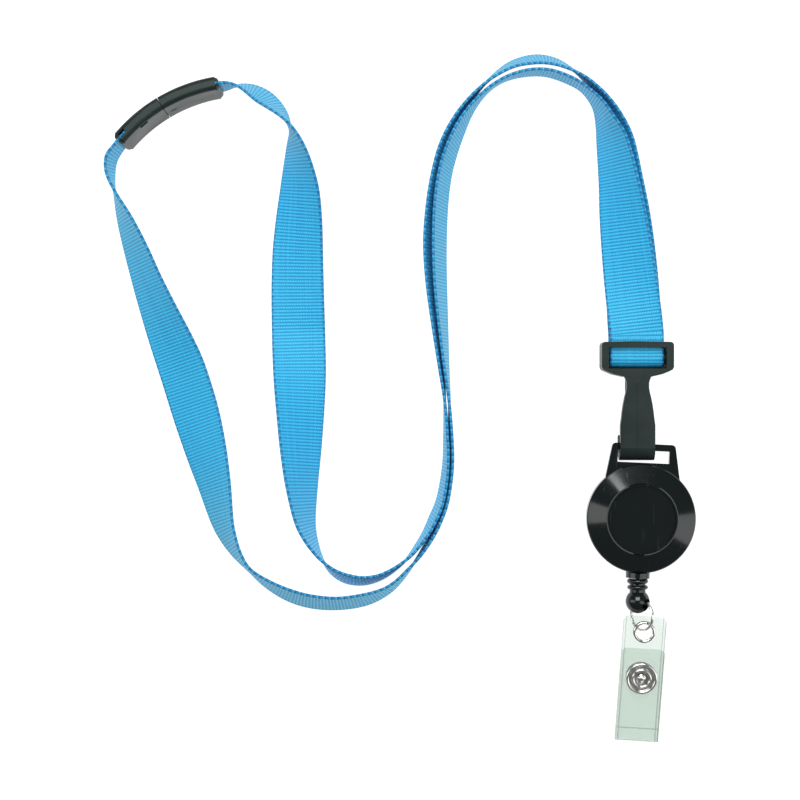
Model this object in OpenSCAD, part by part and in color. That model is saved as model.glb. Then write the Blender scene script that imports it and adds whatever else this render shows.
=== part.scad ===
// Lanyard badge holder lying on a table: neck strap with a breakaway clasp, a wide J hook,
// a retracting badge reel and a clear strap with a snap. Millimetres, +Z up from the table.

/* [Strap] */
// Width of the webbing
strap_w = 15.5; // [13:0.5:15.5]
// Thickness of the webbing
strap_t = 0.9; // [0.6:0.05:0.9]

/* [Clasp] */
// Height of the clasp across the webbing
clasp_w = 17.4; // [17:0.1:18]
// Thickness of the clasp
clasp_t = 3.9; // [3.8:0.1:4.2]
// Radius of the clasp's curve at mid thickness
clasp_r = 45; // [42:1:50]
// Sweep of each half in degrees
clasp_sweep = 20.5; // [19:0.5:22]

/* [Hook] */
// Width of the strap buckle
buckle_w = 20.7; // [20.2:0.1:22]
// Width of the hook's curl
curl_w = 10; // [8:0.1:10]
// Outer radius of the curl
curl_r = 3.9; // [3.8:0.05:4]
// Wall of the curl and the shank
curl_wall = 2.2; // [2:0.05:2.3]

/* [Reel] */
// Diameter of the reel's case
reel_d = 31.4; // [30.8:0.1:31.4]
// Height of the reel's case
reel_h = 9.3; // [9.2:0.1:9.8]
// Diameter of the recessed disc
disc_d = 19.2; // [17:0.1:19.4]
// Diameter of the pull cord
cord_d = 0.92; // [0.7:0.02:0.96]
// Diameter of the ball on the cord end
ball_d = 7; // [6.8:0.1:7]

/* [Ring and clear strap] */
// Radius of the ring at the middle of its wire
ring_r = 4.2; // [4:0.05:4.3]
// Diameter of the ring's wire
wire_d = 0.9; // [0.7:0.05:0.9]
// Width of the clear strap
vinyl_w = 12.5; // [11:0.5:13]
// Thickness of the clear sheet
vinyl_t = 0.5; // [0.4:0.05:0.55]
// Diameter of the snap
snap_d = 9.2; // [8.6:0.1:9.6]

/* [Hidden] */
$fn = 64;

webbing_blue = "#3F9BDA";
matte_black = "#2A302F";
gloss_black = "#141918";
nickel = "#C9C7BC";
clear_vinyl = "#DCE8E6";
spring_steel = "#8C9096";
nylon_black = "#1B1B1D";
eps = 0.01;

// Where the assemblies sit on the table
hook_x = 67.45;
bar_y = 11.8;
bar_z = 3.2;
bar_r = 1.8;
curl_y = -13.8;
curl_z = 4.1;
reel_at = [68.65, -34.5, 0];
reel_turn = -2.6;
vinyl_at = [69.8, -67.38, 3.6];
vinyl_turn = -3.6;
vinyl_tilt = 6.1;
clasp_at = [-68.5, 83.4, 0];
clasp_turn = 30.8;

// Routes of the two strap legs, from the hook to the clasp. Each point is [x, y, lift, lean].
// lift is the height of the lower edge, and lean turns the webbing about its route:
// 90 lies flat, 0 stands on edge, and the sign says to which side its first edge leans.
leg_a_route = [
    [67.45, 17.5, 0.4, 90], [67.45, 18.5, 0.4, 90],
    [67.2, 22, 0.5, 86], [66.4, 33, 0.3, 74], [64.8, 50.5, 0, 55],
    [63.4, 62, 0, 41], [61.8, 74, 0, 28], [60.1, 80.4, 0, 14], [57, 86.3, 0, 3],
    [52.8, 91.3, 0, -5], [48.4, 94.6, 0, -12], [44, 96.7, 0, -16.5], [39.7, 97.5, 0, -18],
    [35.4, 97.1, 0, -17], [31, 95.7, 0, -13.5], [26.3, 92.7, 0, -8], [22.1, 88.9, 0, -2.5],
    [18.1, 83.7, 0, 4.5], [14.9, 78, 0, 10.5], [12.2, 71.7, 0, 13.5], [10.4, 64.6, 0, 15],
    [9.1, 55.7, 0, 17], [8.4, 45, 0, 18], [8.7, 34.2, 0, 16], [9.7, 22.7, 0, 12],
    [11, 9.5, 0, 6], [12, -0.3, 0, 1.5], [12.4, -9.8, 0, -2], [12.35, -19.2, 0, -4],
    [10.9, -28.7, 0, -5.5], [8.5, -34.8, 0, -5.5], [6.1, -39.4, 0, -3], [3, -43.8, 0, 0],
    [0.4, -46.6, 0, 4], [-3, -49.2, 0, 7], [-6.8, -51.2, 0, 10], [-11.4, -52.2, 0, 13],
    [-16, -51.6, 0, 14], [-19.6, -49.8, 0, 11], [-22.4, -47.1, 0, 5], [-24.5, -44, 0, -2],
    [-26.8, -39.2, 0, -11], [-28.2, -34, 0, -20], [-29.1, -24, 0, -34], [-29.4, -14, 0, -47],
    [-29.6, -3.5, 0, -60], [-29.9, 8, 0, -77], [-30.2, 16.5, 0, -87], [-30.4, 25, 0, -94],
    [-30.5, 33.5, 0, -100], [-30.4, 42.5, 0, -107], [-30, 51, 0, -117], [-29.7, 60, 0, -131],
    [-30.2, 68, 0, -148], [-31.2, 74, 0, -164], [-32.6, 78.2, 0, -179],
    [-35, 82, 0, -192], [-38.6, 85.6, 0, -200], [-42, 87.9, 0.1, -200], [-45.6, 89.3, 0.4, -194],
    [-49.3, 89.75, 0.8, -184], [-53, 89.3, 0.95, -180], [-56.4, 88.6, 0.95, -180],
    [-59.6, 87.7, 0.95, -180]
];
leg_b_route = [
    [67.45, 17.5, 5.1, 90], [67.45, 18.5, 5.1, 90],
    [67.1, 22, 4.5, 86], [65.8, 33, 2.4, 73], [63.6, 50.5, 1.3, 55],
    [62.1, 62, 1, 41], [60.1, 73.6, 0.6, 28], [58.1, 79.5, 0.3, 14], [55.7, 84.9, 0, 3],
    [52.1, 88.9, 0, -3], [47.6, 91.6, 0, -3], [41.5, 93.6, 0, -3], [35.6, 93.6, 0, -3],
    [29.9, 92.1, 0, -4], [25.6, 89.6, 0, -3], [22.2, 86.4, 0, 0], [19.2, 82.5, 0, 4.5],
    [16.4, 77.4, 0, 9.5], [13.9, 71.3, 0, 12.5], [12, 64.4, 0, 14], [10.9, 55.7, 0, 15],
    [10.5, 45, 0, 15], [10.7, 34.2, 0, 14], [11.4, 22.7, 0, 11], [12.4, 9.5, 0, 6],
    [13.3, -0.3, 0, 2], [13.7, -9.8, 0, -1.5], [13.6, -19.2, 0, -4], [12.15, -28.9, 0, -5],
    [9.9, -35.6, 0, -4], [7.6, -40.4, 0, -2], [4.9, -44.8, 0, 1], [1.8, -48.8, 0, 5],
    [-1.3, -52.3, 0, 8], [-5, -55.2, 0, 12], [-11, -57.6, 0, 17], [-18.5, -58.7, 0, 18],
    [-26, -58.2, 0, 19], [-32.4, -56.4, 0, 18], [-38.6, -53.2, 0, 14], [-44, -49, 0, 9],
    [-47.6, -44.5, 0, 15], [-50.2, -39.5, 0, 23], [-52, -34.4, 0, 30], [-54.3, -24.2, 0, 43],
    [-57, -14, 0, 56], [-60, -3.5, 0, 65], [-63.6, 8, 0, 65], [-66.6, 16, 0, 58],
    [-70, 24.5, 0, 48], [-73.4, 33.4, 0, 39], [-76.4, 42, 0, 32], [-79.6, 50.8, 0, 22],
    [-82.3, 58.2, 0.2, 9], [-83.8, 64, 0.6, 0], [-83.6, 68.6, 0.9, -2], [-81.8, 71.6, 0.95, 0],
    [-80, 73.9, 0.95, 0], [-78, 76.1, 0.95, 0], [-76, 78.1, 0.95, 0]
];
ring_step = 3;
rest_gap = 0.05;
leg_b_cut = 40;

function unit(v) = v / norm(v);
function through(p, i, t) =
    let (a = p[max(i - 1, 0)], b = p[i], c = p[i + 1], d = p[min(i + 2, len(p) - 1)])
    (2 * b + (c - a) * t + (2 * a - 5 * b + 4 * c - d) * t * t
        + (3 * b - a - 3 * c + d) * t * t * t) / 2;
function steps(p, i) = ceil(norm([p[i + 1][0] - p[i][0], p[i + 1][1] - p[i][1]]) / ring_step);
function ring_of(p, i) = i == 0 ? 0 : ring_of(p, i - 1) + steps(p, i - 1);
function finer(p) = [
    for (i = [0:len(p) - 2]) for (k = [0:steps(p, i) - 1]) through(p, i, k / steps(p, i)),
    p[len(p) - 1]
];
function centre_of(p) =
    [p[0], p[1], p[2] + rest_gap + (strap_w * abs(cos(p[3])) + strap_t * abs(sin(p[3]))) / 2];
function section_at(c, ahead, lean) =
    let (side = unit(cross([0, 0, 1], ahead)), up = cross(ahead, side))
    let (across = (side * sin(lean) - up * cos(lean)) * strap_w / 2)
    let (deep = cross(ahead, unit(across)) * strap_t / 2)
    [c - across - deep, c + across - deep, c + across + deep, c - across + deep];

// Rings of corners joined by walls and closed at both ends
module skin(rings) {
    n = len(rings[0]);
    last = n * (len(rings) - 1);
    walls = [
        for (i = [0:len(rings) - 2]) for (k = [0:n - 1])
            let (a = n * i + k, b = n * i + (k + 1) % n)
            each [[a, a + n, b + n], [a, b + n, b]]
    ];
    first_end = [for (k = [1:n - 2]) [0, k, k + 1]];
    last_end = [for (k = [1:n - 2]) [last, last + k + 1, last + k]];
    polyhedron(points = [for (ring = rings) each ring], faces = concat(walls, first_end, last_end));
}

// Webbing from one point of a route to another
module webbing(route, from, to) {
    fine = finer(route);
    middle = [for (p = fine) centre_of(p)];
    top = len(middle) - 1;
    skin([
        for (i = [ring_of(route, from):ring_of(route, to)])
            section_at(middle[i], unit(middle[min(i + 1, top)] - middle[max(i - 1, 0)]), fine[i][3])
    ]);
}

module strap_leg_a() {
    color(webbing_blue)
        webbing(leg_a_route, 0, len(leg_a_route) - 1);
}

module strap_leg_b() {
    color(webbing_blue)
        webbing(leg_b_route, 0, leg_b_cut);
}

module strap_leg_b_end() {
    color(webbing_blue)
        webbing(leg_b_route, leg_b_cut, len(leg_b_route) - 1);
}

// Lays a profile drawn in Y and Z along X, centred on the hook's axis
module along_x(width) {
    translate([hook_x - width / 2, 0, 0])
        rotate([90, 0, 90])
            linear_extrude(width)
                children();
}

turn_in = bar_r + 0.1;
turn_out = turn_in + strap_t;
strap_join_y = 17.5;

// The webbing round the hook's cross bar, with its two short straights
module strap_turn() {
    color(webbing_blue)
        along_x(strap_w) {
            difference() {
                translate([bar_y, bar_z]) circle(turn_out);
                translate([bar_y, bar_z]) circle(turn_in);
                translate([bar_y, bar_z - 5]) square([10, 10]);
            }
            for (z = [bar_z - turn_out, bar_z + turn_in])
                translate([bar_y - eps, z]) square([strap_join_y - bar_y + eps - 0.05, strap_t]);
        }
}

// Clasp: both halves are drawn about the seam, with +X into the socket half and +Y outwards
clasp_corner = 1.3;
seam_gap = 0.12;
socket_extra = 1.9;
end_round = 1.4;
flap_face = 0.78;
flap_gap = 0.08;
socket_flap_sweep = 14.9;
plug_flap_sweep = 13.5;
pocket_sweep = 10.5;
pocket_in = 0.45;
pocket_edge = 0.75;
tongue_l = 4.8;
tongue_t = 1.3;
tongue_w = 9;
tongue_gap = 0.15;

module clasp_place() {
    translate(clasp_at)
        rotate([0, 0, clasp_turn])
            children();
}

module rounded_rect(w, h, r) {
    translate([r, 0]) square([w - 2 * r, h]);
    translate([0, r]) square([w, h - 2 * r]);
    for (x = [r, w - r]) for (y = [r, h - r]) translate([x, y]) circle(r);
}

module clasp_section() {
    translate([clasp_r - clasp_t / 2, 0]) rounded_rect(clasp_t, clasp_w, clasp_corner);
}

// Sweeps a profile of radius and height about the clasp's centre, from one angle over a sweep
module clasp_sweep_of(from, sweep) {
    translate([0, -clasp_r, 0])
        rotate([0, 0, from])
            rotate_extrude(angle = sweep)
                children();
}

// Half a clasp with its clamp flap cut off: its end is at end_angle and its seam at seam_angle
module clasp_half(from, to, flap_from, flap_sweep, pocket_from, pocket_to) {
    difference() {
        clasp_sweep_of(from, to - from) clasp_section();
        clasp_sweep_of(flap_from, flap_sweep)
            translate([clasp_r + flap_face, -1]) square([3, clasp_w + 2]);
        clasp_sweep_of(pocket_from, pocket_to - pocket_from)
            translate([clasp_r + flap_face - 1.2, pocket_edge])
                square([1.3, clasp_w - 2 * pocket_edge]);
    }
}

module clasp_flap(from, sweep) {
    clasp_sweep_of(from, sweep)
        intersection() {
            clasp_section();
            translate([clasp_r + flap_face + flap_gap, -1]) square([3, clasp_w + 2]);
        }
}

// Rounds the corners at a half's free end, as seen from inside the curve
module end_corners(angle, way) {
    corner = 2.2;
    translate([0, -clasp_r, 0])
        rotate([0, 0, angle])
            for (z = [0, clasp_w])
                translate([clasp_r, way * corner, z + (z == 0 ? corner : -corner)])
                    rotate([0, 90, 0])
                        difference() {
                            translate([-(corner + 1) * (z == 0 ? 0 : 1), way < 0 ? 0 : -corner - 1, -4])
                                cube([corner + 1, corner + 1, 8]);
                            translate([0, 0, -5]) cylinder(r = corner, h = 10);
                        }
}

// Rounds a half's free end, as seen from above
module plan_corners(angle, way) {
    translate([0, -clasp_r, 0])
        rotate([0, 0, angle])
            for (side = [-1, 1])
                translate([clasp_r + side * (clasp_t / 2 - end_round), -way * end_round, -1])
                    difference() {
                        translate([side > 0 ? 0 : -end_round - 1, way < 0 ? -end_round - 1 : 0, 0])
                            cube([end_round + 1, end_round + 1, clasp_w + 2]);
                        translate([0, 0, -1]) cylinder(r = end_round, h = clasp_w + 4);
                    }
}

socket_from = 90 - clasp_sweep - socket_extra;
plug_from = 90 + seam_gap;
detent_x = 2.2;

module clasp_socket_body() {
    color(matte_black)
        clasp_place()
            difference() {
                clasp_half(socket_from, 90 - seam_gap, socket_from - 1, socket_flap_sweep + 1,
                    socket_from - 1, socket_from + socket_extra - 1 + pocket_sweep);
                translate([-1, -tongue_t / 2 - tongue_gap, (clasp_w - tongue_w) / 2 - tongue_gap])
                    cube([tongue_l + 1.5, tongue_t + 2 * tongue_gap, tongue_w + 2 * tongue_gap]);
                for (x = [-0.4, 0.4])
                    translate([detent_x + x, -0.5, clasp_w / 2])
                        rotate([90, 0, 0])
                            cylinder(r = 0.6, h = 3);
                end_corners(socket_from, -1);
                plan_corners(socket_from, -1);
            }
}

module clasp_socket_flap() {
    color(matte_black)
        clasp_place()
            difference() {
                clasp_flap(socket_from, socket_flap_sweep);
                end_corners(socket_from, -1);
                plan_corners(socket_from, -1);
            }
}

module clasp_plug_body() {
    notch_x = -7;
    window_from = 90 + clasp_sweep - 4.6;
    color(matte_black)
        clasp_place()
            difference() {
                union() {
                    clasp_half(plug_from, 90 + clasp_sweep, 90 + clasp_sweep - plug_flap_sweep,
                        plug_flap_sweep + 1, 91 + clasp_sweep - pocket_sweep, 91 + clasp_sweep);
                    translate([-1.5, -tongue_t / 2, (clasp_w - tongue_w) / 2])
                        cube([tongue_l + 1.5, tongue_t, tongue_w]);
                    translate([detent_x, -tongue_t / 2 + 0.37, clasp_w / 2 - 0.4])
                        cylinder(r = 0.5, h = 0.8);
                }
                translate([notch_x - 1.3, -4, clasp_w - 3.4]) cube([2.6, 2.4, 2.2]);
                clasp_sweep_of(window_from, 3)
                    translate([clasp_r - 0.3, clasp_w - 2]) square([1.2, 3]);
                end_corners(90 + clasp_sweep, 1);
                plan_corners(90 + clasp_sweep, 1);
            }
}

module clasp_plug_flap() {
    color(matte_black)
        clasp_place()
            difference() {
                clasp_flap(90 + clasp_sweep - plug_flap_sweep, plug_flap_sweep);
                end_corners(90 + clasp_sweep, 1);
                plan_corners(90 + clasp_sweep, 1);
            }
}

// Hook, with its outlines about its own axis
frame_low = 1.2;
frame_top = 8.1;
frame_y = 16.4;
window_low = 8.75;
window_high = 14.9;
window_w = 16.6;
lip = 0.5;
shank_top = curl_z + curl_r;
gate_axis_y = 7.1;
gate_axis_z = 3.2;
gate_pin_r = 0.6;
gate_w = 6.2;
gate_end_y = -12.3;

function arc(c, r, from, to, n) =
    [for (i = [0:n]) let (a = from + (to - from) * i / n) [c[0] + r * cos(a), c[1] + r * sin(a)]];
function mirrored(p) = concat(p, [for (i = [len(p) - 1:-1:0]) [-p[i][0], p[i][1]]]);

module buckle_outline() {
    half = buckle_w / 2;
    polygon(mirrored(concat(
        [[0, frame_y + 0.15]],
        arc([half - 1, frame_y - 1], 1, 90, 0, 4),
        [[half, 9.2], [half - 0.4, 8.4], [half - 1.6, 7.8], [7, 7.1], [4, 6.4]]
    )));
}

module shank_outline() {
    half = curl_w / 2;
    polygon(mirrored([
        [4, 6.7], [3.5, 5.7], [3.2, 4.6], [3.2, 3.2], [3.4, 2], [3.8, 0.4], [4.2, -1.6],
        [4.5, -3.6], [4.7, -5.4], [half, -7.6], [half, curl_y - 0.3]
    ]));
}

module curl_profile() {
    difference() {
        translate([curl_y, curl_z]) circle(curl_r);
        translate([curl_y, curl_z]) circle(curl_r - curl_wall);
        translate([curl_y, curl_z - 6]) square([12, 12]);
    }
    translate([curl_y - eps, curl_z - curl_r]) square([2.3, curl_wall]);
    translate([curl_y + 2.2, curl_z - curl_r + curl_wall / 2]) circle(curl_wall / 2);
}

module hook_body() {
    ridge = 0.12;
    color(matte_black) {
        translate([hook_x, 0, 0])
            difference() {
                translate([0, 0, frame_low])
                    linear_extrude(frame_top - frame_low)
                        buckle_outline();
                translate([-window_w / 2, window_low, 0])
                    cube([window_w, window_high - window_low, 20]);
                translate([-window_w / 2, window_high - 1, 0])
                    cube([window_w, 4, bar_z + turn_out + 0.35]);
                translate([-gate_w / 2 - 0.3, gate_axis_y, gate_axis_z])
                    rotate([0, 90, 0])
                        cylinder(r = gate_pin_r + 0.06, h = gate_w + 0.6);
                translate([-gate_w / 2 - 0.3, gate_axis_y - 2, gate_axis_z - 0.9])
                    cube([gate_w + 0.6, 1.9, 2.6]);
            }
        translate([hook_x - window_w / 2 - eps, window_low - eps, frame_low]) cube([window_w + 2 * eps, lip, lip]);
        for (x = [hook_x - window_w / 2 - eps, hook_x + window_w / 2 - 0.32])
            translate([x, window_low, frame_low + 0.3]) cube([0.33, window_high - window_low, lip]);
        translate([hook_x - window_w / 2 - 0.2, bar_y, bar_z])
            rotate([0, 90, 0])
                cylinder(r = bar_r, h = window_w + 0.4);
        translate([hook_x, 0, shank_top - curl_wall])
            linear_extrude(curl_wall)
                shank_outline();
        along_x(0.5)
            polygon([[5.6, shank_top - 0.1], [5, shank_top + ridge], [curl_y, shank_top + ridge],
                [curl_y, shank_top - 0.1]]);
        along_x(curl_w) curl_profile();
    }
}

module hook_gate() {
    leaf = 1;
    color(matte_black) {
        translate([hook_x - gate_w / 2, gate_axis_y, gate_axis_z])
            rotate([0, 90, 0])
                cylinder(r = gate_pin_r, h = gate_w);
        translate([hook_x - gate_w / 2, gate_end_y, gate_axis_z - leaf / 2])
            cube([gate_w, gate_axis_y - gate_end_y, leaf]);
    }
}

// Reel, about its own centre with +Y to its loop
cord_z = 3.7;
shell_split = 5;
case_r = reel_d / 2;
back_r = case_r - 0.2;
shell_wall = 1.1;
lip_r = 14.3;
loop_low = 3.2;
loop_t = 1.8;
loop_bar_y = curl_y - reel_at[1] - 0.1;
loop_bar = 1.95;
slot_w = 14.9;
slot_low = 16.1;
collar_r = 3.45;
collar_end = 17.2;
post_r = 1.6;
spool_gap = 0.08;
drum_r = 9.2;
flange_r = 12.6;
guide_y = 13.9;
wound_r = 11.3;

module reel_place() {
    translate(reel_at)
        rotate([0, 0, reel_turn])
            children();
}

module loop_outline() {
    top = loop_bar_y + loop_bar / 2;
    polygon(mirrored(concat([[0, top]], arc([8.1, top - 1.1], 1.1, 90, 8, 4), [[10.9, 10.5], [10.6, 9]])));
}

module reel_back_shell() {
    color(gloss_black)
        reel_place()
            difference() {
                union() {
                    rotate_extrude()
                        polygon([[0, 0], [14.2, 0], [14.9, 0.3], [back_r, 1], [back_r, shell_split],
                            [lip_r, shell_split], [lip_r, shell_split + 0.8], [lip_r - 0.8, shell_split + 0.8],
                            [lip_r - 0.8, 1], [0, 1]]);
                    difference() {
                        translate([0, 0, loop_low]) linear_extrude(loop_t) loop_outline();
                        translate([0, 0, -1]) cylinder(r = back_r - 0.4, h = 20);
                        translate([0, 0, shell_split - 0.05]) cylinder(r = case_r + 0.08, h = 5);
                        translate([-slot_w / 2, slot_low, -1])
                            cube([slot_w, loop_bar_y - loop_bar / 2 - slot_low, 20]);
                    }
                    difference() {
                        translate([0, 0, cord_z]) rotate([90, 0, 0]) cylinder(r = collar_r, h = collar_end);
                        translate([0, 0, -1]) cylinder(r = back_r - 0.4, h = 20);
                        translate([0, 0, shell_split - 0.05]) cylinder(r = case_r + 0.08, h = 5);
                    }
                }
                translate([0, -12, cord_z]) rotate([90, 0, 0]) cylinder(r = 0.75, h = 8);
                translate([-5, -guide_y - 0.6, cord_z - 0.8]) cube([10, 3, 5]);
            }
}

module reel_front_shell() {
    ring_in = disc_d / 2;
    ring_out = ring_in + 0.65;
    cone_low = 6.4;
    color(gloss_black)
        reel_place()
            rotate_extrude()
                polygon([
                    [0, reel_h - 0.7], [ring_in, reel_h - 0.7], [ring_in, reel_h],
                    [ring_out - 0.2, reel_h], [ring_out, reel_h - 0.3], [ring_out + 0.1, reel_h - 0.45],
                    [case_r - 0.25, cone_low], [case_r, cone_low - 0.3], [case_r, shell_split + 0.06],
                    [lip_r + 0.08, shell_split + 0.06], [lip_r + 0.08, cone_low - 0.5],
                    [ring_out, reel_h - 0.7 - shell_wall], [0, reel_h - 0.7 - shell_wall]
                ]);
}

module reel_post() {
    color(nylon_black)
        reel_place()
            difference() {
                union() {
                    translate([0, 0, 1]) cylinder(r = 2.8, h = 0.3);
                    translate([0, 0, 1]) cylinder(r = post_r, h = 6.2);
                }
                translate([-0.22, -2, 2.3]) cube([0.44, 4, 6]);
            }
}

module reel_post_washer() {
    color(spring_steel)
        reel_place()
            translate([0, 0, 6.4])
                difference() {
                    cylinder(r = 2.7, h = 0.4);
                    translate([0, 0, -1]) cylinder(r = post_r + 0.02, h = 3);
                }
}

module reel_spool() {
    color(nylon_black)
        reel_place()
            rotate_extrude()
                polygon([
                    [post_r + spool_gap, 1.45], [flange_r, 1.45], [flange_r, 2.05], [drum_r, 2.05],
                    [drum_r, 5.7], [flange_r, 5.7], [flange_r, 6.2], [drum_r - 0.8, 6.2],
                    [drum_r - 0.8, 2.05], [post_r + spool_gap, 2.05]
                ]);
}

spring_turns = 5;
spring_t = 0.22;
spring_in = 1.95;
spring_out = drum_r - 1;

// A flat strip wound as a spiral, whose inner tail lies in the post's slot
module reel_spring() {
    steps = 24 * spring_turns;
    function spiral(i, side) =
        let (a = 90 + 360 * spring_turns * i / steps, r = spring_in + (spring_out - spring_in) * i / steps)
        [(r + side) * cos(a), (r + side) * sin(a)];
    inner = [for (i = [1:steps]) spiral(i, -spring_t / 2)];
    outer = [for (i = [steps:-1:0]) spiral(i, spring_t / 2)];
    tail_left = [[-spring_t / 2, -1.2], [-spring_t / 2, spring_in - spring_t / 2]];
    tail_right = [[spring_t / 2, spring_in], [spring_t / 2, -1.2]];
    color(spring_steel)
        reel_place()
            translate([0, 0, 2.45])
                linear_extrude(3.2)
                    polygon(concat(tail_left, inner, outer, tail_right));
}

// Three layers of cord on the drum, drawn as one pack with a ribbed outside
module cord_wound() {
    low = 2.2;
    rows = 3;
    pitch = (5.6 - low) / rows;
    color(nylon_black)
        reel_place()
            rotate_extrude() {
                translate([drum_r + 0.05, low]) square([wound_r - drum_r, rows * pitch]);
                for (k = [0:rows - 1])
                    translate([wound_r, low + (k + 0.5) * pitch]) circle(pitch / 2);
            }
}

// Points [x, y] of the cord, from the drum round the case's rim and out to the knot
lead_route = [
    [5.5, -11.2], [3.4, -12.25], [1.7, -13.05], [0.6, -13.7], [0.1, -14.4], [0, -15.4],
    [0, -17.5], [0, -20.4]
];

module cord_lead() {
    fine = finer(lead_route);
    top = len(fine) - 1;
    color(nylon_black)
        reel_place()
            skin([
                for (i = [0:top])
                    let (ahead = unit(fine[min(i + 1, top)] - fine[max(i - 1, 0)]))
                    [for (k = [0:7])
                        [fine[i][0] + ahead[1] * sin(45 * k) * cord_d / 2,
                            fine[i][1] - ahead[0] * sin(45 * k) * cord_d / 2,
                            cord_z + cos(45 * k) * cord_d / 2]]
            ]);
}

// Cord end, whose axis runs along -Y from the collar
bead_start = 17.4;
ball_y = 24;
knot_y = 21.2;
knot_r = 0.95;
knot_face = 0.8;
hole_x = 0.76;
hole_y = 24.87;
hole_r = 1.8;
ring_lean = 51;
ring_x = 1.26;
ring_z = 3.75;
ring_y = 28.07;

// The cord end hangs straight down the page from the collar's mouth
module bead_place() {
    reel_place()
        translate([0, -collar_end, 0])
            rotate([0, 0, -reel_turn])
                translate([0, collar_end, 0])
                    children();
}

module cord_knot() {
    color(nylon_black)
        bead_place()
            translate([0, -knot_y, cord_z])
                intersection() {
                    sphere(r = knot_r);
                    translate([-2, knot_face - 4, -2]) cube([4, 4, 4]);
                }
}

module bead_profile() {
    intersection() {
        union() {
            translate([0, bead_start]) square([2.3, 4]);
            translate([2.35, bead_start + 0.75]) circle(0.72);
            translate([2.4, bead_start + 2.5]) circle(0.62);
            translate([0, ball_y]) circle(d = ball_d);
        }
        translate([0, bead_start]) square([10, 20]);
    }
}

module cord_end_bead() {
    color(gloss_black)
        bead_place()
            translate([0, 0, cord_z])
                difference() {
                    rotate([90, 0, 0]) rotate_extrude() bead_profile();
                    rotate([90, 0, 0])
                        translate([0, 0, bead_start - 1])
                            cylinder(r = 0.6, h = knot_y - bead_start + 1);
                    translate([0, -knot_y, 0]) sphere(r = knot_r + 0.12);
                    translate([hole_x, -hole_y, 0])
                        rotate([0, 90 - ring_lean, 0])
                            translate([0, 0, -6])
                                cylinder(r = hole_r, h = 12);
                }
}

// Two turns of wire side by side, each with its own end
module split_ring() {
    turn_d = wire_d * 0.78;
    color(nickel)
        bead_place()
            translate([ring_x, -ring_y, ring_z])
                rotate([0, -ring_lean, 0])
                    for (side = [-1, 1])
                        translate([0, 0, side * (wire_d - turn_d) * 0.8])
                            rotate([0, 0, 205 + side * 9])
                                rotate_extrude(angle = 352)
                                    translate([ring_r, 0]) circle(d = turn_d);
}

// Clear strap: origin at the eyelet's centre, +Y to its top edge, the rear strip's middle at z = 0
strap_top = 4.7;
fold_y = -31.15;
layer_gap = 0.9;
fold_z = (vinyl_t + layer_gap) / 2;
flap_low = vinyl_t / 2 + layer_gap;
flap_high = flap_low + vinyl_t;
flap_top = -4.6;
snap_y = -13.2;
eyelet_hole = 2.3;
eyelet_barrel = 2.7;

module vinyl_place() {
    translate(vinyl_at)
        rotate([0, 0, vinyl_turn])
            rotate([vinyl_tilt, 0, 0])
                children();
}

// A strip whose top corners are rounded
module strip_outline(top, corner) {
    half = vinyl_w / 2;
    translate([-half, fold_y]) square([vinyl_w, top - corner - fold_y]);
    translate([-half + corner, fold_y]) square([vinyl_w - 2 * corner, top - fold_y]);
    for (x = [-half + corner, half - corner]) translate([x, top - corner]) circle(corner);
}

module vinyl_rear_strip() {
    color(clear_vinyl, 0.4)
        vinyl_place()
            difference() {
                translate([0, 0, -vinyl_t / 2]) linear_extrude(vinyl_t) strip_outline(strap_top, 1.8);
                translate([0, 0, -2]) cylinder(r = eyelet_barrel + 0.03, h = 4);
                translate([0, snap_y, -2]) cylinder(r = 0.75, h = 4);
            }
}

module vinyl_fold() {
    color(clear_vinyl, 0.4)
        vinyl_place()
            translate([-vinyl_w / 2, fold_y, fold_z])
                rotate([90, 0, 90])
                    linear_extrude(vinyl_w)
                        difference() {
                            circle(layer_gap / 2 + vinyl_t);
                            circle(layer_gap / 2);
                            translate([0, -3]) square([6, 6]);
                        }
}

module vinyl_front_flap() {
    color(clear_vinyl, 0.4)
        vinyl_place()
            difference() {
                translate([0, 0, flap_low]) linear_extrude(vinyl_t) strip_outline(flap_top, 1.5);
                translate([0, snap_y, 0]) cylinder(r = 1.95, h = 4);
            }
}

module eyelet() {
    lift = vinyl_t / 2 + 0.02;
    color(nickel)
        vinyl_place()
            rotate_extrude()
                difference() {
                    union() {
                        translate([eyelet_hole, -lift]) square([eyelet_barrel - eyelet_hole, 2 * lift]);
                        for (z = [-1, 1]) translate([eyelet_hole + 0.45, z * (lift - 0.16)]) circle(0.46);
                    }
                    translate([eyelet_barrel, -lift]) square([2, 2 * lift]);
                }
}

// Snap parts are bodies of revolution about the snap's axis
module snap_place() {
    vinyl_place()
        translate([0, snap_y, 0])
            rotate_extrude()
                children();
}

module snap_socket() {
    rim = snap_d / 2;
    low = flap_high + 0.02;
    color(nickel)
        snap_place() {
            translate([1.95, low]) square([rim - 2.4, 0.3]);
            translate([rim - 0.5, low + 0.5]) circle(0.5);
            translate([1.95, low]) square([1.05, 0.7]);
            translate([2.5, low + 0.68]) circle(0.42);
        }
}

module snap_socket_post() {
    color(nickel)
        snap_place() {
            translate([1.72, flap_low - 0.27]) square([1.3, 0.25]);
            translate([1.72, flap_low - 0.27]) square([0.18, flap_high - flap_low + 0.75]);
        }
}

module snap_stud() {
    base = vinyl_t / 2 + 0.02;
    top = flap_high + 0.55;
    color(nickel)
        snap_place()
            difference() {
                union() {
                    translate([0, base]) square([3.2, 0.25]);
                    translate([0, base]) square([1.15, top - base]);
                    translate([0.9, top - 0.35]) circle(0.45);
                    intersection() {
                        translate([0, top - 0.9]) circle(1.35);
                        translate([0, base]) square([3, 5]);
                    }
                }
                translate([-2, base - 1]) square([2, 6]);
                translate([0, base - 1]) square([0.66, 2]);
            }
}

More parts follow.
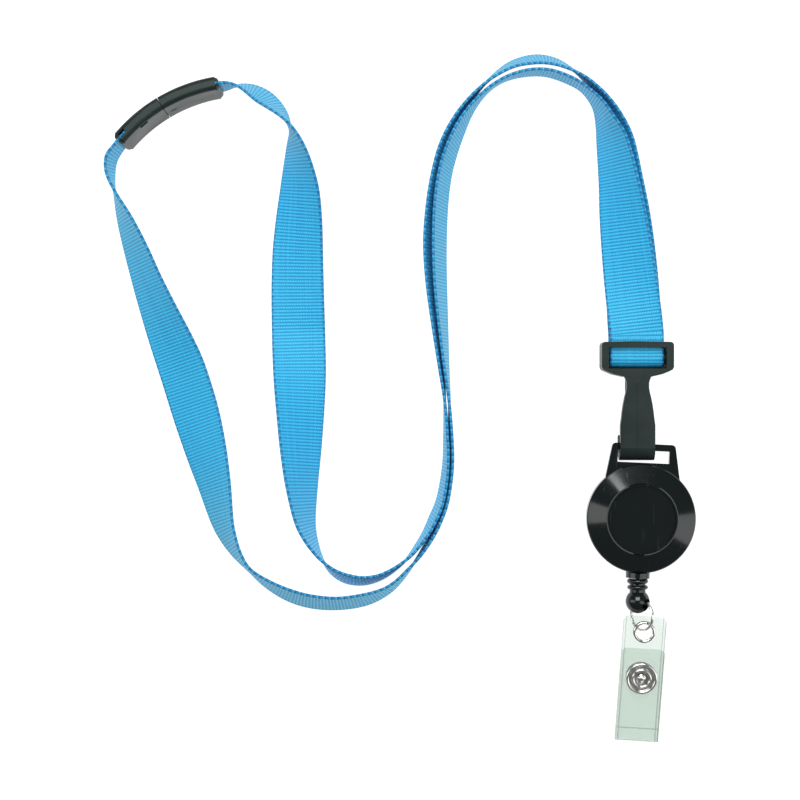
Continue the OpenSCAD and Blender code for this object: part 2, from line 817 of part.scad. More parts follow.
module snap_stud_cap() {
    low = -vinyl_t / 2 - 0.02;
    cap_r = 4.3;
    color(nickel)
        snap_place() {
            translate([0, low - 0.35]) square([cap_r, 0.35]);
            polygon([[0, low - 0.8], [2.6, low - 0.7], [3.7, low - 0.5], [cap_r, low - 0.3], [0, low - 0.3]]);
            translate([0, low - 0.1]) square([0.62, 1.5]);
        }
}

strap_leg_a();
strap_leg_b();
strap_leg_b_end();
strap_turn();
clasp_socket_body();
clasp_socket_flap();
clasp_plug_body();
clasp_plug_flap();
hook_body();
hook_gate();
reel_back_shell();
reel_front_shell();
reel_post();
reel_post_washer();
reel_spool();
reel_spring();
cord_wound();
cord_lead();
cord_knot();
cord_end_bead();
split_ring();
vinyl_rear_strip();
vinyl_fold();
vinyl_front_flap();
eyelet();
snap_socket();
snap_socket_post();
snap_stud();
snap_stud_cap();
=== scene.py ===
"""Looks of the lanyard badge holder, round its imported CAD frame. Lengths are metres unless a name says mm."""

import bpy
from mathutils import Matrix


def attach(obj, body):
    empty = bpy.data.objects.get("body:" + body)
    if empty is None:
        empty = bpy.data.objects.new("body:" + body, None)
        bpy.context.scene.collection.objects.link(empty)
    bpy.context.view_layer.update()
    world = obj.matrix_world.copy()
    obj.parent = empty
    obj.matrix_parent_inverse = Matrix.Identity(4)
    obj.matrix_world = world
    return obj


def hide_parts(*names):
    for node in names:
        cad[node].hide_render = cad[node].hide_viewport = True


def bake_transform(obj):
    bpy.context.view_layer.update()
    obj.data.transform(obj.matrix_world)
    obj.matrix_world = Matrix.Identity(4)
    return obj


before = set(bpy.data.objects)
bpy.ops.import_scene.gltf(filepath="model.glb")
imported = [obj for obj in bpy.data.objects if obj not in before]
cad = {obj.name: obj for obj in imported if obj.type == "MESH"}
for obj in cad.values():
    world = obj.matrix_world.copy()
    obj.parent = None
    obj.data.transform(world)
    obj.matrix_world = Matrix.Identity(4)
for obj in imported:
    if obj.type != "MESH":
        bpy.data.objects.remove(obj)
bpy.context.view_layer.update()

import math

import bpy
import numpy as np
from mathutils import Vector

MM = 0.001
STRAP_W, STRAP_T, REST_GAP = 15.5, 0.9, 0.05

# ---------------------------------------------------------------- camera
camera = bpy.data.objects.new("camera", bpy.data.cameras.new("camera"))
bpy.context.collection.objects.link(camera)
camera.location = (-0.0008, -0.0003, 0.55)
camera.data.sensor_width = 36
camera.data.lens = 85.05
bpy.context.scene.camera = camera

# ---------------------------------------------------------------- node helpers


def shader(name):
    material = bpy.data.materials.new(name)
    material.use_nodes = True
    material.node_tree.nodes.clear()
    return material, material.node_tree


def put(tree, kind, inputs=None, **settings):
    node = tree.nodes.new("ShaderNode" + kind)
    for key, value in settings.items():
        setattr(node, key, value)
    for key, value in (inputs or {}).items():
        if isinstance(value, bpy.types.NodeSocket):
            tree.links.new(value, node.inputs[key])
        else:
            node.inputs[key].default_value = value
    return node.outputs[0] if node.outputs else node


def calc(tree, what, a, b=0.0, c=0.0):
    return put(tree, "Math", {0: a, 1: b, 2: c}, operation=what)


def ramp(tree, value, low, high, to_low=0.0, to_high=1.0):
    return put(tree, "MapRange", {0: value, 1: low, 2: high, 3: to_low, 4: to_high})


def tint(tree, factor, a, b):
    node = tree.nodes.new("ShaderNodeMix")
    node.data_type = "RGBA"
    for key, value in ((0, factor), (6, a), (7, b)):
        if isinstance(value, bpy.types.NodeSocket):
            tree.links.new(value, node.inputs[key])
        else:
            node.inputs[key].default_value = value
    return node.outputs[2]


def noise(tree, scale, detail=2.0, vector=None, distortion=0.0):
    inputs = {"Scale": scale, "Detail": detail, "Distortion": distortion}
    if vector is not None:
        inputs["Vector"] = vector
    return put(tree, "TexNoise", inputs)


def bump(tree, height, strength, distance, normal=None):
    inputs = {"Height": height, "Strength": strength, "Distance": distance}
    if normal is not None:
        inputs["Normal"] = normal
    return put(tree, "Bump", inputs)


def finish_shader(material, tree, surface):
    out = tree.nodes.new("ShaderNodeOutputMaterial")
    tree.links.new(surface, out.inputs["Surface"])
    return material


def place(tree):
    """Object coordinates, which on every piece here are metres in the part's own frame."""
    return tree.nodes.new("ShaderNodeTexCoord").outputs["Object"]


def uv_mm(tree):
    """The piece's own map: millimetres along it and millimetres across it."""
    split = tree.nodes.new("ShaderNodeSeparateXYZ")
    tree.links.new(put(tree, "UVMap", uv_map="UVMap"), split.inputs[0])
    return split.outputs[0], split.outputs[1]


# ---------------------------------------------------------------- materials


RIB_MM, THREAD_MM = 0.95, 0.72


def webbing_material():
    material, t = shader("satin_webbing")
    u, v = uv_mm(t)
    turns = calc(t, "MULTIPLY", u, 1 / RIB_MM)
    wander = calc(t, "MULTIPLY", noise(t, 420.0, 1.0, place(t)), 0.5)
    rib_wave = calc(t, "SINE", calc(t, "MULTIPLY_ADD", turns, 2 * math.pi, wander))
    rib = calc(t, "MULTIPLY_ADD", rib_wave, 0.5, 0.5)
    row = calc(t, "MULTIPLY", calc(t, "FLOORED_MODULO", calc(t, "FLOOR", turns), 2.0), math.pi)
    thread_wave = calc(t, "SINE", calc(t, "MULTIPLY_ADD", v, 2 * math.pi / THREAD_MM, row))
    thread = calc(t, "MULTIPLY_ADD", thread_wave, 0.5, 0.5)
    weave = calc(t, "MULTIPLY", rib, calc(t, "MULTIPLY_ADD", thread, 0.4, 0.6))
    edge = calc(t, "ABSOLUTE", v)
    selvage = ramp(t, edge, 7.0, 7.3)
    stitches = calc(t, "MULTIPLY_ADD", calc(t, "SINE", calc(t, "MULTIPLY", turns, math.pi)), 0.5, 0.5)
    height = calc(t, "MULTIPLY_ADD", calc(t, "MULTIPLY", selvage, stitches), 0.6, weave)
    stretch = put(t, "Mapping", {"Vector": put(t, "UVMap", uv_map="UVMap"), "Scale": (0.02, 2.6, 1.0)})
    streak = noise(t, 1.0, 3.0, stretch)
    cloud = noise(t, 60.0, 2.0, place(t))
    # The weave's colour runs from deep blue in the grooves to lighter blue on the rib crests. This is the
    # weave's own pattern plus painted shade in the grooves and painted sheen on the crests.
    groove_colour_with_painted_shade, crest_colour_with_painted_sheen = (0.004, 0.15, 0.46, 1), (0.04, 0.56, 0.88, 1)
    colour = tint(t, weave, groove_colour_with_painted_shade, crest_colour_with_painted_sheen)
    colour = tint(t, ramp(t, streak, 0.35, 0.75, 0.0, 0.35), colour, (0.05, 0.62, 0.92, 1))
    colour = tint(t, ramp(t, cloud, 0.3, 0.7, 0.0, 0.25), colour, (0.02, 0.36, 0.72, 1))
    # Painted shade: the selvage goes dark navy between its stitches, in place of the shadow under the edge
    # stitches.
    selvage_painted_shade = calc(t, "MULTIPLY", selvage, ramp(t, stitches, 0.2, 0.9, 0.75, 0.15))
    colour = tint(t, selvage_painted_shade, colour, (0.002, 0.045, 0.26, 1))
    normal = bump(t, height, 0.55, 0.00016)
    surface = put(t, "BsdfPrincipled", {
        "Base Color": colour, "Roughness": ramp(t, weave, 0.0, 1.0, 0.62, 0.52), "IOR": 1.8,
        "Specular IOR Level": 0.5, "Specular Tint": (0.4, 1.0, 0.8, 1), "Normal": normal,
        "Sheen Weight": 0.08, "Sheen Roughness": 0.45, "Sheen Tint": (0.45, 0.85, 1.0, 1)})
    return finish_shader(material, t, surface)


def plastic_material(name, base, lighter, rough, grain, coat=0.0):
    """A black moulding: faint cloud in the colour, fine grain in the surface, and scattered pale dust specks.
    """
    material, t = shader(name)
    at = place(t)
    cloud = noise(t, 90.0, 3.0, at)
    fine = noise(t, 3200.0, 2.0, at)
    colour = tint(t, ramp(t, cloud, 0.35, 0.7), base, lighter)
    dust = ramp(t, noise(t, 900.0, 3.0, at), 0.66, 0.78, 0.0, 0.18)
    colour = tint(t, dust, colour, (0.05, 0.056, 0.053, 1))
    roughness = ramp(t, cloud, 0.3, 0.7, rough - 0.05, rough + 0.06)
    surface = put(t, "BsdfPrincipled", {
        "Base Color": colour, "Roughness": roughness, "IOR": 1.5, "Specular IOR Level": 0.25,
        "Specular Tint": (0.8, 1.0, 0.94, 1), "Coat Weight": coat, "Coat Roughness": 0.05,
        "Normal": bump(t, fine, grain, 0.00004)})
    return finish_shader(material, t, surface)


def gloss_material():
    """Polished black plastic with hairline scratches and a soft haze."""
    material, t = shader("polished_black")
    at = place(t)
    marks = None
    for turn, scale in ((0.5, 230.0), (2.1, 310.0), (-0.9, 270.0)):
        lay = put(t, "Mapping", {"Vector": at, "Rotation": (0.0, 0.0, turn), "Scale": (1.0, 0.03, 1.0)})
        line = ramp(t, noise(t, scale * 6, 1.0, lay), 0.73, 0.76)
        marks = line if marks is None else calc(t, "MAXIMUM", marks, line)
    haze = noise(t, 70.0, 3.0, at)
    colour = tint(t, marks, (0.0035, 0.006, 0.006, 1), (0.008, 0.011, 0.011, 1))
    roughness = calc(t, "MULTIPLY_ADD", marks, 0.12, ramp(t, haze, 0.3, 0.7, 0.1, 0.17))
    surface = put(t, "BsdfPrincipled", {
        "Base Color": colour, "Roughness": roughness, "IOR": 1.45,
        "Coat Weight": 0.15, "Coat Roughness": 0.08,
        "Normal": bump(t, calc(t, "MULTIPLY_ADD", marks, -0.4, haze), 0.12, 0.00008)})
    return finish_shader(material, t, surface)


def metal_material(name, base, darker, rough):
    material, t = shader(name)
    at = place(t)
    cloud = noise(t, 240.0, 3.0, at)
    hair = noise(t, 2600.0, 2.0, at)
    colour = tint(t, ramp(t, cloud, 0.4, 0.75), base, darker)
    surface = put(t, "BsdfPrincipled", {
        "Base Color": colour, "Metallic": 1.0,
        "Roughness": ramp(t, cloud, 0.3, 0.7, rough * 0.7, rough * 1.4),
        "Normal": bump(t, hair, 0.06, 0.00003)})
    return finish_shader(material, t, surface)


def vinyl_material():
    """Clear soft sheet: see-through, wavy gloss, milky along its pressed border lines and cut edges."""
    material, t = shader("clear_sheet")
    at = place(t)
    u, v = uv_mm(t)
    side = calc(t, "ABSOLUTE", v)
    wave = noise(t, 130.0, 2.0, at)
    line = calc(t, "COMPARE", side, 5.4, 0.12)
    cut = ramp(t, side, 6.0, 6.2)
    weld = calc(t, "COMPARE", u, 33.2, 0.14)
    pressed_line, pressed_weld = calc(t, "MULTIPLY", line, 0.45), calc(t, "MULTIPLY", weld, 0.45)
    mark = calc(t, "MAXIMUM", pressed_line, calc(t, "MAXIMUM", cut, pressed_weld))
    # Painted sheen: random milky patches in the sheet stand in for its sheen patches.
    sheen_painted_patches = ramp(t, noise(t, 320.0, 4.0, at, 1.2), 0.55, 0.8, 0.0, 0.16)
    body = calc(t, "MAXIMUM", calc(t, "MAXIMUM", mark, sheen_painted_patches), 0.07)
    clear = put(t, "BsdfTransparent", {"Color": (0.91, 0.945, 0.92, 1)})
    normal = bump(t, wave, 0.35, 0.0006)
    milky = put(t, "BsdfPrincipled", {
        "Base Color": (0.55, 0.62, 0.57, 1), "Roughness": 0.12, "IOR": 1.53, "Normal": normal})
    gloss = put(t, "BsdfGlossy", {"Color": (0.9, 0.96, 0.95, 1), "Roughness": 0.09, "Normal": normal})
    rim = put(t, "Fresnel", {"IOR": 1.53, "Normal": normal})
    skin = put(t, "MixShader", {0: calc(t, "MULTIPLY", rim, 0.75), 1: clear, 2: gloss})
    surface = put(t, "MixShader", {0: body, 1: skin, 2: milky})
    return finish_shader(material, t, surface)


def cord_material():
    material, t = shader("braided_cord")
    u, v = uv_mm(t)
    a = calc(t, "SINE", calc(t, "MULTIPLY_ADD", u, 9.0, calc(t, "MULTIPLY", v, 4.0)))
    b = calc(t, "SINE", calc(t, "MULTIPLY_ADD", u, 9.0, calc(t, "MULTIPLY", v, -4.0)))
    braid = calc(t, "MAXIMUM", a, b)
    colour = tint(t, ramp(t, braid, -0.6, 1.0), (0.004, 0.004, 0.005, 1), (0.03, 0.03, 0.034, 1))
    surface = put(t, "BsdfPrincipled", {
        "Base Color": colour, "Roughness": 0.6, "Sheen Weight": 0.3, "Normal": bump(t, braid, 0.6, 0.00006)})
    return finish_shader(material, t, surface)


WEBBING = webbing_material()
MATTE = plastic_material("matte_black_moulding", (0.009, 0.014, 0.013, 1), (0.017, 0.023, 0.022, 1), 0.4, 0.3)
NYLON = plastic_material("black_nylon", (0.008, 0.008, 0.009, 1), (0.016, 0.016, 0.017, 1), 0.5, 0.2)
GLOSS = gloss_material()
NICKEL = metal_material("nickel_plate", (0.78, 0.77, 0.74, 1), (0.6, 0.59, 0.56, 1), 0.16)
STEEL = metal_material("spring_steel", (0.5, 0.51, 0.54, 1), (0.36, 0.37, 0.4, 1), 0.3)
VINYL = vinyl_material()
CORD = cord_material()

# ---------------------------------------------------------------- mesh helpers


def mesh_object(name, points, faces, uvs, material):
    """A smooth mesh with one (u, v) in millimetres for each corner of each face."""
    mesh = bpy.data.meshes.new(name)
    mesh.from_pydata([tuple(p) for p in points], [], faces)
    layer = mesh.uv_layers.new(name="UVMap")
    layer.data.foreach_set("uv", np.array([c for face in uvs for c in face], float).ravel())
    mesh.shade_smooth()
    mesh.set_sharp_from_angle(angle=math.radians(50))
    mesh.materials.append(material)
    mesh.update()
    piece = bpy.data.objects.new(name, mesh)
    bpy.context.collection.objects.link(piece)
    return piece


def skin(rings, along, across):
    """Faces and maps for closed rings of points, ended flat. along maps each ring, and across each corner."""
    n = len(rings[0])
    faces, uvs = [], []
    for i in range(len(rings) - 1):
        for k in range(n):
            j = (k + 1) % n
            faces.append((n * i + k, n * (i + 1) + k, n * (i + 1) + j, n * i + j))
            near, far = along[i], along[i + 1]
            uvs.append([(near, across[k]), (far, across[k]), (far, across[j]), (near, across[j])])
    for i, order in ((0, range(n)), (len(rings) - 1, range(n - 1, -1, -1))):
        faces.append(tuple(n * i + k for k in order))
        uvs.append([(along[i], across[k]) for k in order])
    return faces, uvs


def finer(route, step):
    """Points close together on the smooth curve through a route."""
    route = np.array(route, float)
    out = []
    for i in range(len(route) - 1):
        a, b = route[max(i - 1, 0)], route[i]
        c, d = route[i + 1], route[min(i + 2, len(route) - 1)]
        steps = max(1, math.ceil(np.linalg.norm((c - b)[:2]) / step))
        for t in np.arange(steps) / steps:
            square, cube = 2 * a - 5 * b + 4 * c - d, 3 * b - a - 3 * c + d
            out.append((2 * b + (c - a) * t + square * t * t + cube * t ** 3) / 2)
    out.append(route[-1])
    return np.array(out)


# The webbing's section: position across it, and half its thickness there
SECTION = [
    (-7.75, 0.1), (-7.67, 0.27), (-7.45, 0.4), (-7.15, 0.43), (-6.85, 0.4), (-5.8, 0.37), (-3.7, 0.39),
    (-1.2, 0.4), (1.2, 0.4), (3.7, 0.39), (5.8, 0.37), (6.85, 0.4), (7.15, 0.43), (7.45, 0.4),
    (7.67, 0.27), (7.75, 0.1)]


def ribbon(name, centres, widths, deeps, start_mm):
    """Webbing along centres in millimetres, with unit vectors across its width and through its thickness."""
    lengths = np.concatenate([[0], np.cumsum(np.linalg.norm(np.diff(centres, axis=0), axis=1))])
    profile = [(v, h) for v, h in SECTION] + [(v, -h) for v, h in reversed(SECTION)]
    rings = [[(c + w * v + d * h) * MM for v, h in profile] for c, w, d in zip(centres, widths, deeps)]
    faces, uvs = skin(rings, lengths + start_mm, [v for v, _ in profile])
    piece = mesh_object(name, [p for ring in rings for p in ring], faces, uvs, WEBBING)
    return piece, float(lengths[-1]) * MM


def unit(rows):
    return rows / np.linalg.norm(rows, axis=-1, keepdims=True)


def leg(name, route, first, last, start_mm):
    """The ribbon on a stretch of a route whose points are [x, y, lift, lean] in millimetres and degrees."""
    fine = finer(route, 1.0)
    lean = np.radians(fine[:, 3])
    height = fine[:, 2] + REST_GAP + (STRAP_W * abs(np.cos(lean)) + STRAP_T * abs(np.sin(lean))) / 2
    centres = np.column_stack([fine[:, :2], height])
    ahead = unit(np.gradient(centres, axis=0))
    side = unit(np.cross([0, 0, 1], ahead))
    up = np.cross(ahead, side)
    widths = side * np.sin(lean)[:, None] - up * np.cos(lean)[:, None]
    deeps = np.cross(ahead, widths)
    low = int(np.argmin(np.linalg.norm(fine[:, :2] - np.array(route[first][:2]), axis=1)))
    high = int(np.argmin(np.linalg.norm(fine[:, :2] - np.array(route[last][:2]), axis=1))) + 1
    part = slice(low, high)
    piece, length = ribbon(name, centres[part], widths[part], deeps[part], start_mm)
    return piece, length, [tuple(p * MM) for p in centres[part][:-1][::2]] + [tuple(centres[high - 1] * MM)]


# ---------------------------------------------------------------- neck strap
LEG_A = [
    [67.45, 17.5, 0.4, 90], [67.45, 18.5, 0.4, 90],
    [67.2, 22, 0.5, 86], [66.4, 33, 0.3, 74], [64.8, 50.5, 0, 55],
    [63.4, 62, 0, 41], [61.8, 74, 0, 28], [60.1, 80.4, 0, 14], [57, 86.3, 0, 3],
    [52.8, 91.3, 0, -5], [48.4, 94.6, 0, -12], [44, 96.7, 0, -16.5], [39.7, 97.5, 0, -18],
    [35.4, 97.1, 0, -17], [31, 95.7, 0, -13.5], [26.3, 92.7, 0, -8], [22.1, 88.9, 0, -2.5],
    [18.1, 83.7, 0, 4.5], [14.9, 78, 0, 10.5], [12.2, 71.7, 0, 13.5], [10.4, 64.6, 0, 15],
    [9.1, 55.7, 0, 17], [8.4, 45, 0, 18], [8.7, 34.2, 0, 16], [9.7, 22.7, 0, 12],
    [11, 9.5, 0, 6], [12, -0.3, 0, 1.5], [12.4, -9.8, 0, -2], [12.35, -19.2, 0, -4],
    [10.9, -28.7, 0, -5.5], [8.5, -34.8, 0, -5.5], [6.1, -39.4, 0, -3], [3, -43.8, 0, 0],
    [0.4, -46.6, 0, 4], [-3, -49.2, 0, 7], [-6.8, -51.2, 0, 10], [-11.4, -52.2, 0, 13],
    [-16, -51.6, 0, 14], [-19.6, -49.8, 0, 11], [-22.4, -47.1, 0, 5], [-24.5, -44, 0, -2],
    [-26.8, -39.2, 0, -11], [-28.2, -34, 0, -20], [-29.1, -24, 0, -34], [-29.4, -14, 0, -47],
    [-29.6, -3.5, 0, -60], [-29.9, 8, 0, -77], [-30.2, 16.5, 0, -87], [-30.4, 25, 0, -94],
    [-30.5, 33.5, 0, -100], [-30.4, 42.5, 0, -107], [-30, 51, 0, -117], [-29.7, 60, 0, -131],
    [-30.2, 68, 0, -148], [-31.2, 74, 0, -164], [-32.6, 78.2, 0, -179],
    [-35, 82, 0, -192], [-38.6, 85.6, 0, -200], [-42, 87.9, 0.1, -200], [-45.6, 89.3, 0.4, -194],
    [-49.3, 89.75, 0.8, -184], [-53, 89.3, 0.95, -180], [-56.4, 88.6, 0.95, -180],
    [-59.6, 87.7, 0.95, -180]]
LEG_B = [
    [67.45, 17.5, 5.1, 90], [67.45, 18.5, 5.1, 90],
    [67.1, 22, 4.5, 86], [65.8, 33, 2.4, 73], [63.6, 50.5, 1.3, 55],
    [62.1, 62, 1, 41], [60.1, 73.6, 0.6, 28], [58.1, 79.5, 0.3, 14], [55.7, 84.9, 0, 3],
    [52.1, 88.9, 0, -3], [47.6, 91.6, 0, -3], [41.5, 93.6, 0, -3], [35.6, 93.6, 0, -3],
    [29.9, 92.1, 0, -4], [25.6, 89.6, 0, -3], [22.2, 86.4, 0, 0], [19.2, 82.5, 0, 4.5],
    [16.4, 77.4, 0, 9.5], [13.9, 71.3, 0, 12.5], [12, 64.4, 0, 14], [10.9, 55.7, 0, 15],
    [10.5, 45, 0, 15], [10.7, 34.2, 0, 14], [11.4, 22.7, 0, 11], [12.4, 9.5, 0, 6],
    [13.3, -0.3, 0, 2], [13.7, -9.8, 0, -1.5], [13.6, -19.2, 0, -4], [12.15, -28.9, 0, -5],
    [9.9, -35.6, 0, -4], [7.6, -40.4, 0, -2], [4.9, -44.8, 0, 1], [1.8, -48.8, 0, 5],
    [-1.3, -52.3, 0, 8], [-5, -55.2, 0, 12], [-11, -57.6, 0, 17], [-18.5, -58.7, 0, 18],
    [-26, -58.2, 0, 19], [-32.4, -56.4, 0, 18], [-38.6, -53.2, 0, 14], [-44, -49, 0, 9],
    [-47.6, -44.5, 0, 15], [-50.2, -39.5, 0, 23], [-52, -34.4, 0, 30], [-54.3, -24.2, 0, 43],
    [-57, -14, 0, 56], [-60, -3.5, 0, 65], [-63.6, 8, 0, 65], [-66.6, 16, 0, 58],
    [-70, 24.5, 0, 48], [-73.4, 33.4, 0, 39], [-76.4, 42, 0, 32], [-79.6, 50.8, 0, 22],
    [-82.3, 58.2, 0.2, 9], [-83.8, 64, 0.6, 0], [-83.6, 68.6, 0.9, -2], [-81.8, 71.6, 0.95, 0],
    [-80, 73.9, 0.95, 0], [-78, 76.1, 0.95, 0], [-76, 78.1, 0.95, 0]]
CUT = 40
BAR_Y, BAR_Z, TURN_R, HOOK_X, JOIN_Y = 11.8, 3.2, 2.35, 67.45, 17.5

FLEX = 4
flex_a, flex_a_length, _ = leg("webbing_leg_a_flex", LEG_A, 0, FLEX, 0.0)
flex_b, flex_b_length, _ = leg("webbing_leg_b_flex", LEG_B, 0, FLEX, 0.0)
leg_a, length_a, path_a = leg("webbing_leg_a", LEG_A, FLEX, len(LEG_A) - 1, flex_a_length / MM)
leg_b, length_b, path_b = leg("webbing_leg_b", LEG_B, FLEX, CUT, flex_b_length / MM)
end_start_mm = (flex_b_length + length_b) / MM
leg_c, length_c, path_c = leg("webbing_leg_b_end", LEG_B, CUT, len(LEG_B) - 1, end_start_mm)

turn_line = [(JOIN_Y, BAR_Z + TURN_R), (14.5, BAR_Z + TURN_R)]
for angle in np.radians(range(90, 271, 10)):
    turn_line.append((BAR_Y + TURN_R * math.cos(angle), BAR_Z + TURN_R * math.sin(angle)))
turn_line += [(14.5, BAR_Z - TURN_R), (JOIN_Y, BAR_Z - TURN_R)]
turn_centres = np.array([[HOOK_X, y, z] for y, z in turn_line])
turn_ahead = unit(np.gradient(turn_centres, axis=0))
turn_widths = np.tile([1.0, 0, 0], (len(turn_centres), 1))
turn, _ = ribbon("webbing_turn", turn_centres, turn_widths, np.cross(turn_ahead, turn_widths), -18.0)

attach(turn, "hook")
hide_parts("strap_turn")
for piece, node in ((flex_a, "strap_leg_a"), (flex_b, "strap_leg_b")):
    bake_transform(piece)
    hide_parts(node)
for piece, node in ((leg_a, "strap_leg_a"), (leg_b, "strap_leg_b")):
    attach(piece, "strap")
    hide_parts(node)
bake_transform(leg_c)
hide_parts("strap_leg_b_end")

# ---------------------------------------------------------------- reel's frame
REEL, REEL_TURN = np.array([68.65, -34.5, 0.0]), math.radians(-2.6)


def from_reel(p):
    c, s = math.cos(REEL_TURN), math.sin(REEL_TURN)
    return REEL + np.array([p[0] * c - p[1] * s, p[0] * s + p[1] * c, p[2]])


LEAD = [[5.5, -11.2], [3.4, -12.25], [1.7, -13.05], [0.6, -13.7],
        [0.1, -14.4], [0, -15.4], [0, -17.5], [0, -20.4]]
CORD_Z, CORD_R = 3.7, 0.44


def cord_lead():
    line = finer(LEAD, 0.4)
    ahead = unit(np.gradient(line, axis=0))
    angles = [2 * math.pi * k / 14 for k in range(14)]
    rings = []
    for p, a in zip(line, ahead):
        rings.append([from_reel([p[0] + a[1] * math.sin(g) * CORD_R, p[1] - a[0] * math.sin(g) * CORD_R,
                                 CORD_Z + math.cos(g) * CORD_R]) * MM for g in angles])
    along = np.concatenate([[0], np.cumsum(np.linalg.norm(np.diff(line, axis=0), axis=1))])
    faces, uvs = skin(rings, along, angles)
    return mesh_object("pull_cord", [p for ring in rings for p in ring], faces, uvs, CORD)


lead = cord_lead()
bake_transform(lead)
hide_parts("cord_lead")

# ---------------------------------------------------------------- clear strap
VINYL_AT, VINYL_TURN, VINYL_TILT = np.array([69.8, -67.38, 3.6]), math.radians(-3.6), math.radians(6.1)
SHEET_W, SHEET_T, STRAP_TOP, FLAP_TOP = 12.5, 0.5, 4.7, -4.6
FOLD_Y, FOLD_R, SNAP_Y = -31.15, 0.7, -13.2


def from_vinyl(p):
    rise, run = math.sin(VINYL_TILT), math.cos(VINYL_TILT)
    y, z = p[1] * run - p[2] * rise, p[1] * rise + p[2] * run
    c, s = math.cos(VINYL_TURN), math.sin(VINYL_TURN)
    return VINYL_AT + np.array([p[0] * c - y * s, p[0] * s + y * c, z])


def clear_strap():
    """One sheet from the rear strip's top round the fold to the flap's top, with its holes cut out."""
    rear, fold, flap = STRAP_TOP - FOLD_Y, math.pi * FOLD_R, FLAP_TOP - FOLD_Y
    total = rear + fold + flap
    ends = [0, 0.15, 0.4, 0.75, 1.15, 1.6, 2.1]
    rows = ends + list(np.arange(2.6, rear, 0.5)) + [rear + fold * k / 10 for k in range(11)]
    rows += list(np.arange(rear + fold + 0.5, total - 2.3, 0.5)) + [total - e for e in reversed(ends)]
    columns = np.linspace(-1, 1, 25)

    def middle(s):
        if s <= rear:
            return STRAP_TOP - s, 0.0, (0.0, 1.0)
        if s <= rear + fold:
            a = (s - rear) / FOLD_R
            return FOLD_Y - FOLD_R * math.sin(a), FOLD_R - FOLD_R * math.cos(a), (math.sin(a), math.cos(a))
        return FOLD_Y + (s - rear - fold), 2 * FOLD_R, (0.0, -1.0)

    def half(s):
        corner, from_end = (1.8, s) if s < total / 2 else (1.5, total - s)
        inset = max(0.0, corner - from_end)
        return SHEET_W / 2 - corner + math.sqrt(max(0.0, corner ** 2 - inset ** 2))

    grid = [[(c * half(s), middle(s)) for c in columns] for s in rows]
    holes = [(0.0, True, 2.72), (SNAP_Y, True, 0.74), (SNAP_Y, False, 1.94)]
    keep = {}
    for i in range(len(rows) - 1):
        for k in range(len(columns) - 1):
            s = (rows[i] + rows[i + 1]) / 2
            x, y = (grid[i][k][0] + grid[i][k + 1][0]) / 2, middle(s)[0]
            keep[i, k] = not any(math.hypot(x, y - at) < r and (s < rear if back else s > rear + fold)
                                 for at, back, r in holes)
    points, uv_of = [], []
    for layer in (1, -1):
        for s, row in zip(rows, grid):
            for x, (y, z, normal) in row:
                out = -layer * SHEET_T / 2
                points.append(from_vinyl([x, y + normal[0] * out, z + normal[1] * out]) * MM)
                uv_of.append((s, x))
    n, size = len(columns), len(columns) * len(rows)
    faces, uvs = [], []

    def face(*corners):
        faces.append(corners)
        uvs.append([uv_of[c] for c in corners])

    for (i, k), kept in keep.items():
        if not kept:
            continue
        a, b, c, d = n * i + k, n * i + k + 1, n * (i + 1) + k + 1, n * (i + 1) + k
        face(a, b, c, d)
        face(size + d, size + c, size + b, size + a)
        sides = (((i - 1, k), (a, b)), ((i, k + 1), (b, c)), ((i + 1, k), (c, d)), ((i, k - 1), (d, a)))
        for beyond, (p, q) in sides:
            if not keep.get(beyond, False):
                face(q, p, size + p, size + q)
    return mesh_object("clear_strap", points, faces, uvs, VINYL)


sheet = clear_strap()
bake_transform(sheet)
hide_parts("vinyl_rear_strip", "vinyl_fold", "vinyl_front_flap")

# ---------------------------------------------------------------- CAD nodes that stay
FINISH = {
    "clasp_socket_body": MATTE, "clasp_socket_flap": MATTE, "clasp_plug_body": MATTE,
    "clasp_plug_flap": MATTE, "hook_body": MATTE, "hook_gate": MATTE, "reel_back_shell": GLOSS,
    "reel_front_shell": GLOSS, "cord_end_bead": GLOSS, "reel_post": NYLON, "reel_spool": NYLON,
    "cord_wound": NYLON, "cord_knot": NYLON, "reel_post_washer": STEEL, "reel_spring": STEEL,
    "split_ring": NICKEL, "eyelet": NICKEL, "snap_socket": NICKEL, "snap_socket_post": NICKEL,
    "snap_stud": NICKEL, "snap_stud_cap": NICKEL}
EDGES = {"clasp_socket_body": 0.25, "clasp_socket_flap": 0.2, "clasp_plug_body": 0.25, "clasp_plug_flap": 0.2,
         "hook_body": 0.3, "hook_gate": 0.15, "reel_back_shell": 0.15}
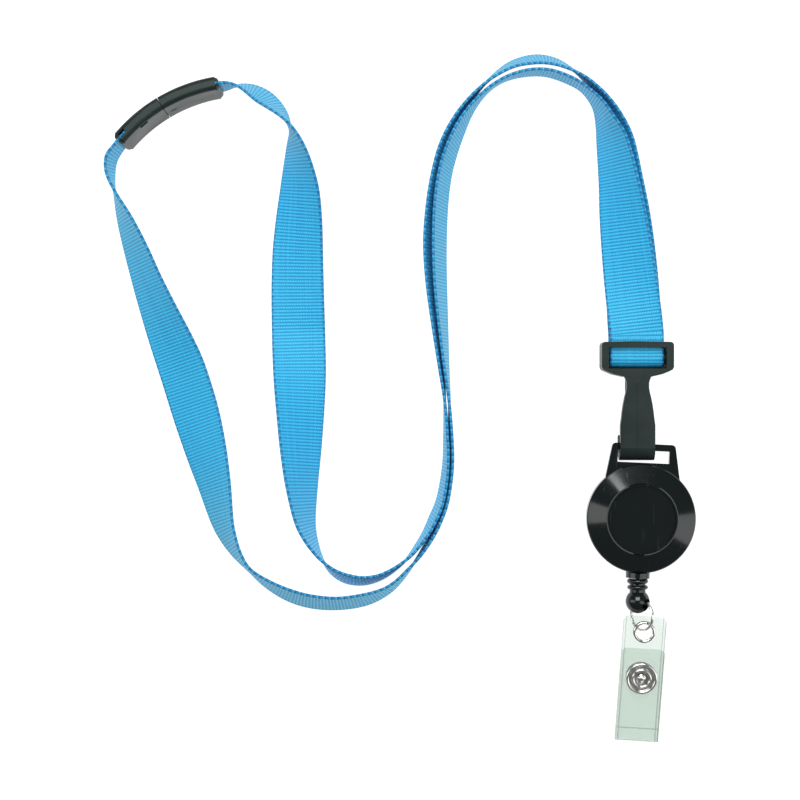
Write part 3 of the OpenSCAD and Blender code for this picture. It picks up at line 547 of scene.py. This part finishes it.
for name, material in FINISH.items():
    node = cad[name]
    node.data.shade_smooth()
    node.data.set_sharp_from_angle(angle=math.radians(35))
    if not node.material_slots:
        node.data.materials.append(material)
    for place_in in node.material_slots:
        place_in.material = material
    if name in EDGES:
        edge = node.modifiers.new("soft_edges", "BEVEL")
        edge.width = EDGES[name] * MM
        edge.segments = 2
        edge.limit_method = "ANGLE"
        edge.angle_limit = math.radians(42)
        edge.use_clamp_overlap = True
        edge.harden_normals = True

# ---------------------------------------------------------------- floor and light


FLOOR_Z = -0.0001


def floor():
    mesh = bpy.data.meshes.new("floor")
    r = 3.0
    corners = [(-r, -r, FLOOR_Z), (r, -r, FLOOR_Z), (r, r, FLOOR_Z), (-r, r, FLOOR_Z)]
    mesh.from_pydata(corners, [], [(0, 1, 2, 3)])
    material, t = shader("white_floor")
    lit = put(t, "BsdfPrincipled", {
        "Base Color": (0.2, 0.2, 0.2, 1), "Roughness": 0.9, "Specular IOR Level": 0.0,
        "Emission Color": (1, 1, 1, 1), "Emission Strength": 1.0})
    mesh.materials.append(finish_shader(material, t, lit))
    plane = bpy.data.objects.new("floor", mesh)
    bpy.context.collection.objects.link(plane)


def area_light(name, at, size, watts, colour=(1, 1, 1)):
    data = bpy.data.lights.new(name, "AREA")
    data.shape = "RECTANGLE"
    data.size, data.size_y = size
    data.energy = watts
    data.color = colour
    lamp = bpy.data.objects.new(name, data)
    bpy.context.collection.objects.link(lamp)
    lamp.location = at
    lamp.rotation_euler = (Vector((0, 0, 0)) - Vector(at)).to_track_quat("-Z", "Y").to_euler()


floor()
area_light("softbox_above", (0.0, 0.3, 0.62), (0.5, 0.4), 4.2)
area_light("softbox_left", (-0.64, 0.0, 0.48), (0.3, 0.75), 1.55)
area_light("softbox_right", (0.62, -0.17, 0.48), (0.35, 1.0), 2.2)
world = bpy.data.worlds.new("studio")
bpy.context.scene.world = world
world.use_nodes = True
world.node_tree.nodes["Background"].inputs[0].default_value = (0.92, 0.96, 1.0, 1)
world.node_tree.nodes["Background"].inputs[1].default_value = 0.18
bpy.context.scene.view_settings.view_transform = "Standard"
